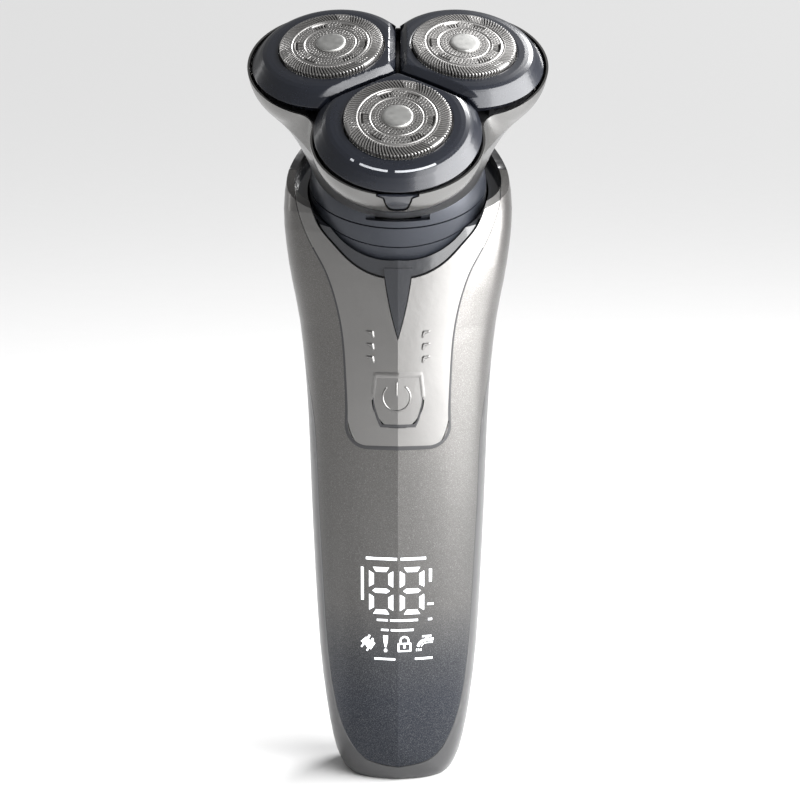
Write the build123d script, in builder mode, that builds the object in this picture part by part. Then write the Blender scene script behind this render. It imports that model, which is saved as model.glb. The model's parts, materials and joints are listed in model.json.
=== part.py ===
"""Rotary electric shaver with a tilted three-cutter head, in millimetres.

The grip stands on its base: +Z is up along the grip, -Y is the front, and the origin is the middle of
the base. The head leans forward on a ball neck. Head pieces are drawn in the head's own plane, whose
origin is the ball's centre and whose Z is the head's axis. Each cutter is drawn in its own dished plane.
"""

import os
from math import cos, radians, sin, tan

from build123d import *

os.makedirs("parts", exist_ok=True)

# Grip
grip_stations = (  # height, half width, front depth, back depth
    (1.2, 12.8, 10.8, 11.2),
    (5, 14.4, 11.9, 12.6),
    (14, 16.2, 13.1, 14.0),
    (30, 18.0, 14.4, 15.6),
    (60, 19.4, 15.3, 17.2),
    (88, 20.3, 15.4, 18.6),
    (105, 21.8, 15.1, 20.0),
    (118, 24.1, 14.7, 21.6),
    (130, 25.1, 14.2, 22.9),
    (140, 23.6, 13.0, 23.3),
    (152, 19.0, 11.0, 22.6),
)
grip_levels = (1.2, 2.8, 5, 8, 12, 17, 23, 30, 38, 47, 56, 65, 74, 82, 89, 95, 100, 105, 110, 114, 118, 122,
               126, 130, 134, 138, 143, 152)
base_edge = 1.2
crease_angle = 7  # rise of each front half towards the centre ridge
wall = 1.7
floor_thickness = 2.6
base_ledge = 3.4
shoulder_height = 137.0  # where the sloping top passes over the grip's axis
shoulder_slope = 31
panel_gap = 0.14
side_seam = 2.0

# Neck ball and head
ball_height = 134.4
ball_radius = 19.4
ball_wall = 1.5
ball_rim = 10.6  # top edge of the ball along the head's axis
head_tilt = 35
cutter_plane = 33.0  # from the ball's centre to the cutters, along the head's axis
cutter_pitch = 16.25
dish = 5.0  # outward tilt of each cutter
lobe_angles = (-90, 30, 150)
lobe_half_gap = 0.9
cutter_radius = 11.0
guard_flange = 11.8
lobe_profile = ((0, -1.0), (12.2, -1.0), (13.4, -1.25), (14.6, -1.7), (15.7, -2.35), (16.6, -3.15),
                (17.2, -4.0), (16.9, -4.3), (16.0, -6.2), (0, -6.2))
guard_profile = ((0, 0), (5.3, 0), (5.3, -0.22), (5.6, -0.22), (5.6, 0), (7.95, 0), (7.95, -0.22),
                 (8.25, -0.22), (8.25, 0), (10.6, 0), (10.9, -0.12), (11.0, -0.4), (11.0, -2.6),
                 (guard_flange, -2.6), (guard_flange, -3.2), (10.5, -3.2), (10.5, -0.5), (0, -0.5))
cone_wall = 1.6
cone_foot = (8.0, 2.5, 16.5, 18.6)  # height, pitch, lobe radius, saddle radius
cone_top = (20.7, 16.25, 15.3, 22.1)
hinge_at = (23.8, 20.85)  # rear hinge of the cutter unit, across and along the head's axis

# Drive train, heights along the head's axis
drive_teeth = 24
driven_teeth = 16
hub_depth = 5.6
spindle_radius = cutter_pitch - hub_depth * sin(radians(dish))
tooth_module = 2 * spindle_radius / (drive_teeth + driven_teeth)
gear_base = 14.6
gear_thickness = 2.4
chamber_floor = (17.5, 18.6)
plate_base = 12.6
plate_thickness = 1.2
motor_radius = 11.0
carrier_radius = 13.0
pivot_radius = 1.6

screw_x = (-7.4, 7.4)

# Rear trimmer
trimmer_axis = (15.9, 86.5)  # hinge, depth and height
trimmer_low, trimmer_high, trimmer_half = 84.9, 115.0, 9.0

head = Plane(
    origin=(0, 0, ball_height),
    x_dir=(1, 0, 0),
    z_dir=(0, -sin(radians(head_tilt)), cos(radians(head_tilt))),
)


def cutter_frame(angle):
    """Dished plane of one cutter: origin at the cutter's centre, X away from the head's centre."""
    turn = radians(angle)
    outward = head.x_dir * cos(turn) + head.y_dir * sin(turn)
    centre = head.origin + head.z_dir * cutter_plane + outward * cutter_pitch
    normal = head.z_dir * cos(radians(dish)) + outward * sin(radians(dish))
    return Plane(origin=centre, x_dir=normal.cross(outward).cross(normal), z_dir=normal)


def grip_size(height):
    """Half width, front depth and back depth of the grip at one height, smooth between stations."""
    table = grip_stations
    i = max(0, min(len(table) - 2, sum(s[0] <= height for s in table) - 1))
    (z0, *low), (z1, *high) = table[i], table[i + 1]
    before, after = table[max(i - 1, 0)], table[min(i + 2, len(table) - 1)]
    span = z1 - z0
    t = (height - z0) / span
    size = []
    for k in range(3):
        slope0 = (high[k] - before[k + 1]) / (z1 - before[0]) * span
        slope1 = (after[k + 1] - low[k]) / (after[0] - z0) * span
        size.append((2 * t**3 - 3 * t**2 + 1) * low[k] + (t**3 - 2 * t**2 + t) * slope0
                    + (3 * t**2 - 2 * t**3) * high[k] + (t**3 - t**2) * slope1)
    return size


def grip_section(low, half, front, back):
    """One level section of the grip, with a shallow ridge down the front."""
    ridge = (1, tan(radians(crease_angle)))
    with BuildSketch(Plane.XY.offset(low), mode=Mode.PRIVATE) as section:
        with BuildLine():
            Spline((0, -front), (0.80 * half, -0.66 * front), (half, 0), tangents=(ridge, (0, 1)))
            Spline((half, 0), (0.76 * half, 0.70 * back), (0, back), tangents=((0, 1), (-1, 0)))
            mirror(about=Plane.YZ)
        make_face()
    return section.sketch


def grip_body(inset, low=base_edge):
    """The grip as one solid, its skin moved inwards by inset, from the height low to the last station."""
    with BuildPart(mode=Mode.PRIVATE) as body:
        for z in (low, *(level for level in grip_levels if level > low + 1)):
            add(grip_section(z, *(s - inset for s in grip_size(z))))
        loft(ruled=True)
    return body.part


def trilobe(pitch, lobe, saddle):
    """Outline of three round lobes joined by arcs that pass the centre at the distance saddle."""
    reach = saddle - pitch / 2
    blend = (lobe**2 - reach**2 - 0.75 * pitch**2) / (2 * (reach - lobe))

    def meeting(axis, side):
        centre = axis * pitch
        notch = axis.rotate(Axis.Z, side)
        return centre + (notch * (saddle + blend) - centre) * (lobe / (lobe + blend))

    with BuildLine(mode=Mode.PRIVATE) as outline:
        for angle in lobe_angles:
            axis = Vector(1, 0).rotate(Axis.Z, angle)
            following = axis.rotate(Axis.Z, 120)
            ThreePointArc(meeting(axis, -60), axis * (pitch + lobe), meeting(axis, 60))
            ThreePointArc(meeting(axis, 60), axis.rotate(Axis.Z, 60) * saddle, meeting(following, -60))
    return outline.line


def trilobe_loft(*sections):
    """Solid through trilobe outlines, each given as height, pitch, lobe radius and saddle radius."""
    with BuildPart(mode=Mode.PRIVATE) as body:
        for height, *size in sections:
            with BuildSketch(head.offset(height)):
                with BuildLine():
                    add(trilobe(*size))
                make_face()
        loft()
    return body.part


def cone_section(height, inset=0.0):
    """Outline of the grey cone at one height, moved inwards by inset."""
    share = (height - cone_foot[0]) / (cone_top[0] - cone_foot[0])
    _, pitch, lobe, saddle = (a + share * (b - a) for a, b in zip(cone_foot, cone_top))
    return height, pitch, lobe - inset, saddle - inset


def head_disc(radius, low, high, across=0.0, along=0.0):
    """Round bar parallel to the head's axis."""
    with BuildPart(head.offset(low), mode=Mode.PRIVATE) as bar:
        with Locations((across, along)):
            Cylinder(radius, high - low, align=(Align.CENTER, Align.CENTER, Align.MIN))
    return bar.part


def head_block(x_range, v_range, z_range):
    """Block square to the head's axes."""
    (x0, x1), (v0, v1), (z0, z1) = x_range, v_range, z_range
    with BuildPart(head, mode=Mode.PRIVATE) as block:
        with Locations(((x0 + x1) / 2, (v0 + v1) / 2, (z0 + z1) / 2)):
            Box(x1 - x0, v1 - v0, z1 - z0)
    return block.part


def block(x_range, y_range, z_range):
    """Block square to the grip's axes."""
    (x0, x1), (y0, y1), (z0, z1) = x_range, y_range, z_range
    with BuildPart(mode=Mode.PRIVATE) as solid:
        with Locations(((x0 + x1) / 2, (y0 + y1) / 2, (z0 + z1) / 2)):
            Box(x1 - x0, y1 - y0, z1 - z0)
    return solid.part


def bar_x(radius, x0, x1, centre):
    """Round bar along X through a point given in the grip's axes."""
    _, y, z = centre
    with BuildPart(Plane(origin=(x0, y, z), x_dir=(0, 1, 0), z_dir=(1, 0, 0)), mode=Mode.PRIVATE) as bar:
        Cylinder(radius, x1 - x0, align=(Align.CENTER, Align.CENTER, Align.MIN))
    return bar.part


def ball(radius):
    with BuildPart(mode=Mode.PRIVATE) as solid:
        with Locations((0, 0, ball_height)):
            Sphere(radius)
    return solid.part


def turned(frame, *points):
    """Solid turned about a plane's Z axis from a closed profile of radius and height points."""
    with BuildPart(mode=Mode.PRIVATE) as solid:
        with BuildSketch(Plane(origin=frame.origin, x_dir=frame.x_dir, z_dir=-frame.y_dir)):
            with BuildLine():
                Polyline(*points, close=True)
            make_face()
        revolve(axis=Axis(frame.origin, frame.z_dir))
    return solid.part


def sector(angle, gap):
    """Wedge of the head that holds one lobe, kept clear of its neighbours by gap."""
    axis = Vector(1, 0).rotate(Axis.Z, angle)
    apex = axis * (gap / sin(radians(60)))
    with BuildPart(mode=Mode.PRIVATE) as wedge:
        with BuildSketch(head.offset(18)):
            with BuildLine():
                sides = [apex + axis.rotate(Axis.Z, side) * 60 for side in (-60, 60)]
                Polyline(apex, sides[0], axis * 60, sides[1], close=True)
            make_face()
        extrude(amount=22)
    return wedge.part


def gear_face(teeth):
    """Outline of a spur gear: straight-flanked teeth, one of them on +X."""
    pitch_radius = tooth_module * teeth / 2
    step = 360 / teeth
    rows = ((-0.36, -1.05), (-0.20, -0.1), (-0.10, 0.8), (0.10, 0.8), (0.20, -0.1), (0.36, -1.05))
    points = []
    for tooth in range(teeth):
        for share, height in rows:
            radius = pitch_radius + height * tooth_module
            points.append(Vector(radius, 0).rotate(Axis.Z, (tooth + share) * step))
    with BuildSketch(mode=Mode.PRIVATE) as face:
        with BuildLine():
            Polyline(*points, close=True)
        make_face()
    return face.sketch


# Seam between the front and the rear housing, seen from the side: depth and height
seam = ((-12.4, 3.2), (-10.9, 4.6), (-9.7, 8), (-8.6, 14), (-8.0, 26), (-8.0, 48), (-7.7, 73), (-5.6, 90),
        (-1.2, 99), (1.6, 108), (2.0, 120))

# Outlines seen from the front, drawn on the XZ plane

cover_edge = ((11.3, 90), (11.9, 102), (13.2, 110), (15.4, 117), (18.9, 123.6), (21.6, 130.5), (22.6, 140))
neck_edge = ((0, 116.2), (6.2, 117.3), (10.6, 120), (14.1, 123.6), (17.3, 127.6), (19.2, 132.5), (19.8, 140))
tongue_edge = ((3.2, 118.6), (2.25, 112), (1.2, 107.2), (0, 103))
button_edge = ((0, 84.0), (2.9, 84.5), (4.5, 86.4), (5.4, 89.8), (5.2, 93.2), (4.7, 95.5))
cover_foot, cover_corner = 79.0, 4.6
far_up = 165


def front_prism(back_limit, half_outline):
    """Prism from far in front of the grip back to the depth back_limit, over a mirrored half outline."""
    with BuildPart(mode=Mode.PRIVATE) as prism:
        with BuildSketch(Plane.XZ.offset(-back_limit)):
            with BuildLine():
                add(half_outline)
                mirror(about=Plane.YZ)
            make_face()
        extrude(amount=60 + back_limit)
    return prism.part


def front_half(shift):
    """Everything in front of the seam, its edge moved back by shift."""
    with BuildPart(mode=Mode.PRIVATE) as half:
        with BuildSketch(Plane.YZ):
            with BuildLine():
                edge = Spline(*((y + shift, z - shift) for y, z in seam))
                Polyline(edge @ 1, ((edge @ 1).X, far_up), (-60, far_up), (-60, (edge @ 0).Y), edge @ 0)
            make_face()
        extrude(amount=40, both=True)
    return half.part


def cover_prism(grow, back_limit):
    """The upper cover: a shirt front with a round foot that widens to the shoulders."""
    foot = cover_foot - grow
    points = [(x + grow, z) for x, z in cover_edge]
    half_width = points[0][0]
    corner = [(half_width - 0.9 - cover_corner, foot), (half_width - 1.8, foot + 1.7),
              (half_width - 0.35, foot + cover_corner + 1.2)]
    with BuildLine(mode=Mode.PRIVATE) as half:
        Line((0, foot), corner[0])
        Spline(*corner, points[0], tangents=((1, 0), (0.03, 1)))
        Spline(*points, tangents=((0.03, 1), (0.05, 1)))
        Polyline(points[-1], (points[-1][0], far_up), (0, far_up))
    return front_prism(back_limit, half.line)


def neck_prism(shrink, back_limit):
    """The neck opening in the front: a rounded V."""
    points = [(x - shrink * min(1, x / 6), z + shrink * (1 - x / 22)) for x, z in neck_edge]
    with BuildLine(mode=Mode.PRIVATE) as half:
        Spline(*points, tangents=((1, 0), (0, 1)))
        Polyline(points[-1], (points[-1][0], far_up), (0, far_up))
    return front_prism(back_limit, half.line)


def tongue_prism(shrink, back_limit):
    """The collar's pointed tongue, which lies in a notch of the cover."""
    points = [(max(x - shrink, 0), z + (0 if x else 2.4 * shrink)) for x, z in tongue_edge]
    with BuildLine(mode=Mode.PRIVATE) as half:
        Spline(*points)
        Line(points[0], (0, points[0][1]))
    return front_prism(back_limit, half.line)


def button_prism(grow, back_limit):
    """The power button: a tab with a round foot, hinged along its straight top."""
    points = [(x + (grow if x else 0), z + (grow if z > 95 else -grow if z < 85 else 0))
              for x, z in button_edge]
    with BuildLine(mode=Mode.PRIVATE) as half:
        Spline(*points, tangents=((1, 0), (-0.3, 1)))
        Line(points[-1], (0, points[-1][1]))
    return front_prism(back_limit, half.line)


def rear_prism(beside, below, above):
    """Rounded window in the back for the trimmer, grown beside, below and above it."""
    high, low = trimmer_high + above, trimmer_low - below
    with BuildPart(mode=Mode.PRIVATE) as prism:
        with BuildSketch(Plane.XZ):
            with Locations((0, (high + low) / 2)):
                RectangleRounded(2 * (trimmer_half + beside), high - low, 2.4)
        extrude(amount=-60)
    return prism.part


def head_front_prism(grow, top, v0, v1):
    """Notch in the front of the silver frame: a flared tab, drawn across the head's axis."""
    with BuildPart(mode=Mode.PRIVATE) as prism:
        front_plane = Plane(origin=head.from_local_coords((0, v0, 0)), x_dir=head.x_dir, z_dir=head.y_dir)
        with BuildSketch(front_plane):
            with BuildLine():
                edge = Spline((0, -22.4 + grow), (1.5 + grow, -22.9 + grow), (2.2 + grow, -24.4),
                              (2.6 + grow, -26.0), (4.0 + grow, -26.8), tangents=((1, 0), (1, -0.25)))
                Polyline(edge @ 1, (4.0 + grow, -top), (0, -top))
                mirror(about=Plane.YZ)
            make_face()
        extrude(amount=v1 - v0)
    return prism.part


# Grip shells

top_plane = Plane(
    origin=(0, 0, shoulder_height),
    x_dir=(1, 0, 0),
    z_dir=(0, -sin(radians(shoulder_slope)), cos(radians(shoulder_slope))),
)
with BuildPart(top_plane) as above_top:
    Box(90, 90, 40, align=(Align.CENTER, Align.CENTER, Align.MIN))

with BuildPart() as foot:
    add(grip_section(0, *(s - base_edge for s in grip_stations[0][1:])))
    add(grip_section(*grip_stations[0]))
    loft(ruled=True)

with BuildPart() as shell:
    add(grip_body(0))
    add(above_top.part, mode=Mode.SUBTRACT)
    add(foot.part)
    add(grip_body(wall, floor_thickness), mode=Mode.SUBTRACT)
    add(ball(ball_radius + 1.1), mode=Mode.SUBTRACT)

with BuildPart() as rear_housing:
    add(shell.part)
    add(front_half(panel_gap), mode=Mode.SUBTRACT)
    with BuildPart(mode=Mode.PRIVATE) as well:
        add(grip_body(1.0))
        add(grip_body(8.2), mode=Mode.SUBTRACT)
        add(rear_prism(1.6, 3.0, 1.8), mode=Mode.INTERSECT)
    add(well.part)
    with BuildPart(mode=Mode.PRIVATE) as pocket:
        add(rear_prism(0.35, 1.8, 0.6))
        add(grip_body(7.0), mode=Mode.SUBTRACT)
    add(pocket.part, mode=Mode.SUBTRACT)
    add(bar_x(0.8, -trimmer_half - 1.2, trimmer_half + 1.2, (0, *trimmer_axis)), mode=Mode.SUBTRACT)
    with BuildPart(mode=Mode.PRIVATE) as base_pocket:
        add(grip_section(0, *(s - 2.6 for s in grip_stations[0][1:])))
        extrude(amount=1.6)
    add(base_pocket.part, mode=Mode.SUBTRACT)
    with BuildPart(mode=Mode.PRIVATE) as base_opening:
        add(grip_section(0, *(s - base_ledge for s in grip_stations[0][1:])))
        extrude(amount=floor_thickness + 1)
    add(base_opening.part, mode=Mode.SUBTRACT)
    with Locations(*((x, 0, 0) for x in screw_x)):
        Cylinder(1.0, 20, mode=Mode.SUBTRACT)
    add(ball(ball_radius + 1.1), mode=Mode.SUBTRACT)
rear_housing.part.label = "rear_housing"
export_step(rear_housing.part, "parts/rear_housing.step")

with BuildPart() as front_panel:
    add(shell.part)
    add(front_half(0), mode=Mode.INTERSECT)
    add(cover_prism(panel_gap, panel_gap - 1.5), mode=Mode.SUBTRACT)
    add(neck_prism(0, side_seam), mode=Mode.SUBTRACT)
front_panel.part.label = "front_panel"
export_step(front_panel.part, "parts/front_panel.step")

with BuildPart() as upper_cover:
    add(shell.part)
    add(cover_prism(0, -1.5), mode=Mode.INTERSECT)
    add(front_half(0), mode=Mode.INTERSECT)
    add(neck_prism(0, side_seam), mode=Mode.SUBTRACT)
    add(tongue_prism(0, side_seam), mode=Mode.SUBTRACT)
    add(button_prism(0.3, side_seam), mode=Mode.SUBTRACT)
upper_cover.part.label = "upper_cover"
export_step(upper_cover.part, "parts/upper_cover.step")

with BuildPart() as power_button:
    add(shell.part)
    add(button_prism(0, -5), mode=Mode.INTERSECT)
power_button.part.label = "power_button"
export_step(power_button.part, "parts/power_button.step")

with BuildPart() as neck_collar:
    with BuildPart(mode=Mode.PRIVATE) as inside:
        add(grip_body(wall + 0.06, 100))
    with BuildPart(mode=Mode.PRIVATE) as band:
        add(grip_body(0.6, 100))
        add(neck_prism(0.4, side_seam - 0.5), mode=Mode.INTERSECT)
    add(ball(23.4))
    with BuildPart(Plane.XY.offset(105), mode=Mode.PRIVATE) as throat:
        Cylinder(12, 18, align=(Align.CENTER, Align.CENTER, Align.MIN))
    add(throat.part, mode=Mode.SUBTRACT)
    add(rear_prism(1.7, 3.2, 2.0), mode=Mode.SUBTRACT)
    with BuildPart(mode=Mode.PRIVATE) as allowed:
        add(inside.part)
        add(band.part)
    add(allowed.part, mode=Mode.INTERSECT)
    with BuildPart(mode=Mode.PRIVATE) as tongue:
        add(grip_body(0.05, 100))
        add(grip_body(2.6, 100), mode=Mode.SUBTRACT)
        add(tongue_prism(0.2, side_seam), mode=Mode.INTERSECT)
    add(tongue.part)
    add(ball(ball_radius + 0.5), mode=Mode.SUBTRACT)
    add(above_top.part.moved(Location(-top_plane.z_dir * 2.6)), mode=Mode.SUBTRACT)
neck_collar.part.label = "neck_collar"
export_step(neck_collar.part, "parts/neck_collar.step")

# Each groove is a thin disc through the ball; its plane is turned about X by an angle below level
groove_angles = (24, 36, 48.5, 61)
with BuildPart() as neck_boot:
    add(ball(ball_radius))
    with BuildPart(Plane.XY.offset(110), mode=Mode.PRIVATE) as stem:
        Cylinder(6.0, 8, align=(Align.CENTER, Align.CENTER, Align.MIN))
    add(stem.part)
    add(ball(ball_radius - ball_wall), mode=Mode.SUBTRACT)
    for side in (-1, 1):
        ends = sorted((side * 15.2, side * (ball_radius - 1.0)))
        add(bar_x(3.4, *ends, head.origin))
    add(bar_x(pivot_radius, -18.6, 18.6, head.origin), mode=Mode.SUBTRACT)
    add(head_disc(40, ball_rim, 30), mode=Mode.SUBTRACT)
    with BuildPart(Plane.XY.offset(109), mode=Mode.PRIVATE) as bore:
        Cylinder(4.4, 12, align=(Align.CENTER, Align.CENTER, Align.MIN))
    add(bore.part, mode=Mode.SUBTRACT)
    for step, angle in enumerate(groove_angles):
        drop = radians(angle)
        start = Vector(0, 0, ball_height - 0.9 * (step - 1.5))
        level = Plane(origin=start, x_dir=(1, 0, 0), z_dir=(0, -sin(drop), cos(drop)))
        with BuildPart(level, mode=Mode.PRIVATE) as groove:
            Cylinder(30, 0.34)
            Cylinder(ball_radius - 0.5 - 0.02 * step, 2, mode=Mode.SUBTRACT)
            Box(70, 35, 5, align=(Align.CENTER, Align.MIN, Align.CENTER), mode=Mode.SUBTRACT)
        add(groove.part, mode=Mode.SUBTRACT)
    slot_drop = radians(13.5)
    slot_level = Plane(
        origin=(0, -ball_radius * cos(slot_drop), ball_height - ball_radius * sin(slot_drop)),
        x_dir=(1, 0, 0),
        z_dir=(0, -cos(slot_drop), -sin(slot_drop)),
    )
    with BuildPart(slot_level, mode=Mode.PRIVATE) as slot:
        Box(13.6, 1.5, 4.4)
    add(slot.part, mode=Mode.SUBTRACT)
neck_boot.part.label = "neck_boot"
export_step(neck_boot.part, "parts/neck_boot.step")

with BuildPart() as pivot_pins:
    add(bar_x(pivot_radius, 11.4, 18.4, head.origin))
    add(bar_x(pivot_radius, -18.4, -11.4, head.origin))
pivot_pins.part.label = "pivot_pins"
export_step(pivot_pins.part, "parts/pivot_pins.step")

# Inside the grip

with BuildPart() as chassis:
    add(block((-9, 9), (-1.2, 0.3), (12, 108)))
    add(block((-8.5, 8.5), (-6, 6), (12, 13.5)))
    for x in (-8.5, 6.0):
        add(block((x, x + 2.5), (-6, 6), (floor_thickness, 13.5)))
    with BuildPart(Plane.XY.offset(108), mode=Mode.PRIVATE) as seat:
        Cylinder(9, 2, align=(Align.CENTER, Align.CENTER, Align.MIN))
        Cylinder(4.4, 2, align=(Align.CENTER, Align.CENTER, Align.MIN), mode=Mode.SUBTRACT)
    add(seat.part)
    for z in (44, 70):
        with BuildPart(Plane.XY.offset(z), mode=Mode.PRIVATE) as strap:
            with Locations((0, 6.9)):
                Cylinder(7.3, 3.5, align=(Align.CENTER, Align.CENTER, Align.MIN))
                Cylinder(6.5, 3.5, align=(Align.CENTER, Align.CENTER, Align.MIN), mode=Mode.SUBTRACT)
        add(strap.part)
    for x in (-6, 6):
        for z in (28, 58, 76, 106):
            add(block((x - 1.2, x + 1.2), (-9.2, -1.2), (z - 1.2, z + 1.2)))
    with BuildPart(Plane.XY.offset(30), mode=Mode.PRIVATE) as cell_room:
        with Locations((0, 6.9)):
            Cylinder(6.5, 52, align=(Align.CENTER, Align.CENTER, Align.MIN))
    add(cell_room.part, mode=Mode.SUBTRACT)
    with Locations(*((x, 0, 0) for x in screw_x)):
        Cylinder(1.0, 20, mode=Mode.SUBTRACT)
chassis.part.label = "chassis"
export_step(chassis.part, "parts/chassis.step")

with BuildPart(Plane.XY.offset(32)) as battery_cell:
    with Locations((0, 6.9)):
        Cylinder(6.4, 48, align=(Align.CENTER, Align.CENTER, Align.MIN))
    with Locations((0, 6.9, 48)):
        Cylinder(2.6, 1.2, align=(Align.CENTER, Align.CENTER, Align.MIN))
    fillet(edges().filter_by(GeomType.CIRCLE).group_by(Axis.Z)[0], 0.6)
battery_cell.part.label = "battery_cell"
export_step(battery_cell.part, "parts/battery_cell.step")

with BuildPart() as display_board:
    add(block((-8.2, 8.2), (-10.4, -9.2), (26, 63)))
    for x in (-5.2, 1.4):
        add(block((x, x + 3.8), (-11.4, -10.4), (44, 53)))
display_board.part.label = "display_board"
export_step(display_board.part, "parts/display_board.step")

with BuildPart() as main_board:
    add(block((-8.5, 8.5), (-10.4, -9.2), (72, 110)))
    add(block((-4, 4), (-11.6, -10.4), (98, 104)))
    add(block((-7, -4), (-11.4, -10.4), (75, 80)))
main_board.part.label = "main_board"
export_step(main_board.part, "parts/main_board.step")

with BuildPart() as power_switch:
    add(block((-3, 3), (-12.2, -10.4), (84.5, 90.5)))
    stud_plane = Plane(origin=(0, -12.2, 87.5), x_dir=(1, 0, 0), z_dir=(0, -1, 0))
    with BuildPart(stud_plane, mode=Mode.PRIVATE) as stud:
        Cylinder(1.7, 0.7, align=(Align.CENTER, Align.CENTER, Align.MIN))
    add(stud.part)
power_switch.part.label = "power_switch"
export_step(power_switch.part, "parts/power_switch.step")

socket_y = 3.4
with BuildPart() as base_plate:
    add(grip_section(0, *(s - 2.7 for s in grip_stations[0][1:])))
    extrude(amount=1.6)
    with Locations((0, socket_y, 0)):
        Box(7.6, 4.6, 5, mode=Mode.SUBTRACT)
    with Locations(*((x, 0, 0) for x in screw_x)):
        Cylinder(1.0, 5, mode=Mode.SUBTRACT)
        Cylinder(1.9, 1.2, mode=Mode.SUBTRACT)
base_plate.part.label = "base_plate"
export_step(base_plate.part, "parts/base_plate.step")

with BuildPart() as base_screws:
    with Locations(*((x, 0, 0.1) for x in screw_x)):
        Cylinder(1.8, 0.5, align=(Align.CENTER, Align.CENTER, Align.MIN))
        Cylinder(0.95, 6, align=(Align.CENTER, Align.CENTER, Align.MIN))
    with Locations(*((x, 0, 0.1) for x in screw_x)):
        Box(2.2, 0.5, 0.5, mode=Mode.SUBTRACT)
        Box(0.5, 2.2, 0.5, mode=Mode.SUBTRACT)
base_screws.part.label = "base_screws"
export_step(base_screws.part, "parts/base_screws.step")

with BuildPart() as charging_socket:
    add(block((-4.7, 4.7), (0.1, 6.7), (1.7, 11)))
    add(block((-3.8, 3.8), (1.1, 5.7), (1.7, 9)), mode=Mode.SUBTRACT)
    with Locations((-1.8, socket_y, 9), (1.8, socket_y, 9)):
        Cylinder(0.6, 8, mode=Mode.SUBTRACT)
charging_socket.part.label = "charging_socket"
export_step(charging_socket.part, "parts/charging_socket.step")

with BuildPart(Plane.XY.offset(4)) as charging_pins:
    with Locations((-1.8, socket_y), (1.8, socket_y)):
        Cylinder(0.6, 7.6, align=(Align.CENTER, Align.CENTER, Align.MIN))
charging_pins.part.label = "charging_pins"
export_step(charging_pins.part, "parts/charging_pins.step")

# Rear trimmer

axis_y, axis_z = trimmer_axis
comb_low, comb_high = 103.0, 115.0

with BuildPart() as trimmer_frame:
    with BuildPart(mode=Mode.PRIVATE) as lid:
        add(grip_body(0.05))
        add(grip_body(2.1), mode=Mode.SUBTRACT)
        add(rear_prism(0, 0, -1.4), mode=Mode.INTERSECT)
    add(lid.part)
    add(bar_x(1.6, -trimmer_half, trimmer_half, (0, axis_y, axis_z)))
    add(block((-8.8, 8.8), (15.2, 17.0), (axis_z - 1.0, axis_z + 2.2)))
    for x in (-8.8, 7.2):
        add(block((x, x + 1.6), (15.4, 17.4), (axis_z, 113)))
    add(bar_x(0.86, -12, 12, (0, axis_y, axis_z)), mode=Mode.SUBTRACT)
trimmer_frame.part.label = "trimmer_frame"
export_step(trimmer_frame.part, "parts/trimmer_frame.step")

with BuildPart() as trimmer_pin:
    add(bar_x(0.8, -trimmer_half - 1.2, trimmer_half + 1.2, (0, axis_y, axis_z)))
trimmer_pin.part.label = "trimmer_pin"
export_step(trimmer_pin.part, "parts/trimmer_pin.step")

with BuildPart() as trimmer_comb:
    add(block((-7.2, 7.2), (16.15, 16.85), (comb_low, comb_high)))
    with Locations(*((-6.72 + 0.96 * i, 16.5, comb_high - 1.0) for i in range(15))):
        Box(0.46, 2, 2.2, mode=Mode.SUBTRACT)
trimmer_comb.part.label = "trimmer_comb"
export_step(trimmer_comb.part, "parts/trimmer_comb.step")

with BuildPart() as trimmer_blade:
    add(block((-6.0, 6.0), (15.15, 15.85), (comb_low + 1, comb_high - 0.6)))
    with Locations(*((-5.28 + 0.96 * i, 15.5, comb_high - 1.4) for i in range(12))):
        Box(0.46, 2, 1.8, mode=Mode.SUBTRACT)
trimmer_blade.part.label = "trimmer_blade"
export_step(trimmer_blade.part, "parts/trimmer_blade.step")

# Head: chamber, motor and gears

with BuildPart() as hair_chamber:
    add(trilobe_loft(cone_section(cone_foot[0]), cone_section(cone_top[0])))
    low, high = chamber_floor
    add(trilobe_loft(cone_section(7.9, cone_wall), cone_section(low, cone_wall)), mode=Mode.SUBTRACT)
    add(trilobe_loft(cone_section(high, cone_wall), cone_section(21.6, cone_wall)), mode=Mode.SUBTRACT)
    add(ball(ball_radius + 0.4), mode=Mode.SUBTRACT)
    for x in (-6.0, 3.2):
        add(bar_x(1.1, x, x + 2.8, head.from_local_coords((0, *hinge_at))))
        add(head_block((x, x + 2.8), (21.2, 23.8), (19.2, 20.6)))
    add(bar_x(0.6, -7, 7, head.from_local_coords((0, *hinge_at))), mode=Mode.SUBTRACT)
    for angle in lobe_angles:
        at = Vector(spindle_radius, 0).rotate(Axis.Z, angle)
        add(head_disc(2.6, low, high + 1.0, at.X, at.Y))
        add(head_disc(1.46, low - 1, high + 2, at.X, at.Y), mode=Mode.SUBTRACT)
hair_chamber.part.label = "hair_chamber"
export_step(hair_chamber.part, "parts/hair_chamber.step")

with BuildPart() as gear_plate:
    add(trilobe_loft(cone_section(7.9, cone_wall + 0.06), cone_section(chamber_floor[0], cone_wall + 0.06)))
    add(head_disc(40, 0, plate_base), mode=Mode.SUBTRACT)
    add(head_disc(40, plate_base + plate_thickness, 22), mode=Mode.SUBTRACT)
    add(head_disc(2.0, plate_base - 1, plate_base + 3), mode=Mode.SUBTRACT)
    for angle in lobe_angles:
        at = Vector(spindle_radius, 0).rotate(Axis.Z, angle)
        add(head_disc(1.25, plate_base + 0.3, plate_base + 3, at.X, at.Y), mode=Mode.SUBTRACT)
gear_plate.part.label = "gear_plate"
export_step(gear_plate.part, "parts/gear_plate.step")

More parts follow.
